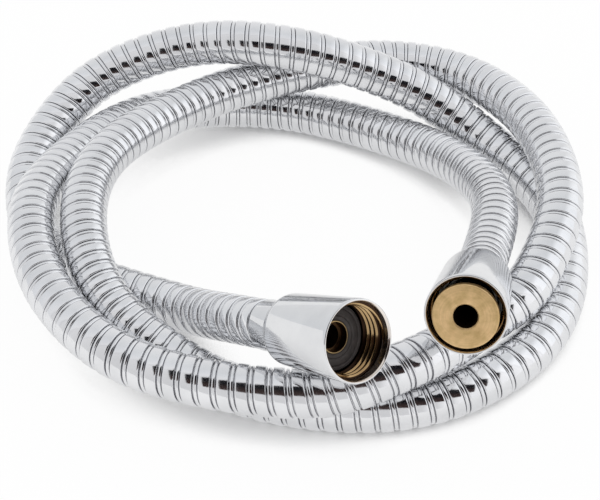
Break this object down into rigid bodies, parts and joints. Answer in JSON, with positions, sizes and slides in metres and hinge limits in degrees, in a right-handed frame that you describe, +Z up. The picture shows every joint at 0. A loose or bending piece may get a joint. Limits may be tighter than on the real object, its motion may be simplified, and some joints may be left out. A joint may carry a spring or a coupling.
{
  "type": "shower hose",
  "caption": "Coiled flexible metal shower hose with a conical threaded union nut that swivels and slides at each end.",
  "frame": {"origin": "centre of the base of the coil's box, on the surface that it lies on", "axes": "+Z up; the coil lies flat in XY and both nuts lie at its -Y side"},
  "size_m": [0.1786, 0.1749, 0.0585],
  "materials": {
    "jacket": "polished strip, wound",
    "tube": "smooth",
    "nut": "polished, brass inside",
    "insert": "turned",
    "washer": "moulded",
    "collar": "polished",
    "crimp": "plain",
    "slip": "moulded"
  },
  "bodies": {
    "hose": {"hose_jacket": "jacket", "inner_tube": "tube", "insert_a": "insert", "washer_a": "washer", "collar_a": "collar", "crimp_sleeve_a": "crimp", "insert_b": "insert", "collar_b": "collar", "crimp_sleeve_b": "crimp"},
    "ring_a": {"slip_ring_a": "slip"},
    "nut_a": {"nut_a": "nut"},
    "ring_b": {"slip_ring_b": "slip"},
    "nut_b": {"nut_b": "nut"}
  },
  "joints": [
    {"name": "nut_a_slide", "type": "slide", "parent": "hose", "child": "ring_a", "axis": [0.6078, -0.6405, 0.4695], "range_m": [-0.014, 0]},
    {"name": "nut_a_swivel", "type": "hinge", "parent": "ring_a", "child": "nut_a", "pos_m": [0.00606, -0.06731, 0.03989], "axis": [0.6078, -0.6405, 0.4695], "continuous": true},
    {"name": "nut_b_slide", "type": "slide", "parent": "hose", "child": "ring_b", "axis": [-0.1821, -0.8952, 0.4067], "range_m": [0, 0.014]},
    {"name": "nut_b_swivel", "type": "hinge", "parent": "ring_b", "child": "nut_b", "pos_m": [0.04981, -0.05087, 0.03944], "axis": [-0.1821, -0.8952, 0.4067], "continuous": true}
  ]
}
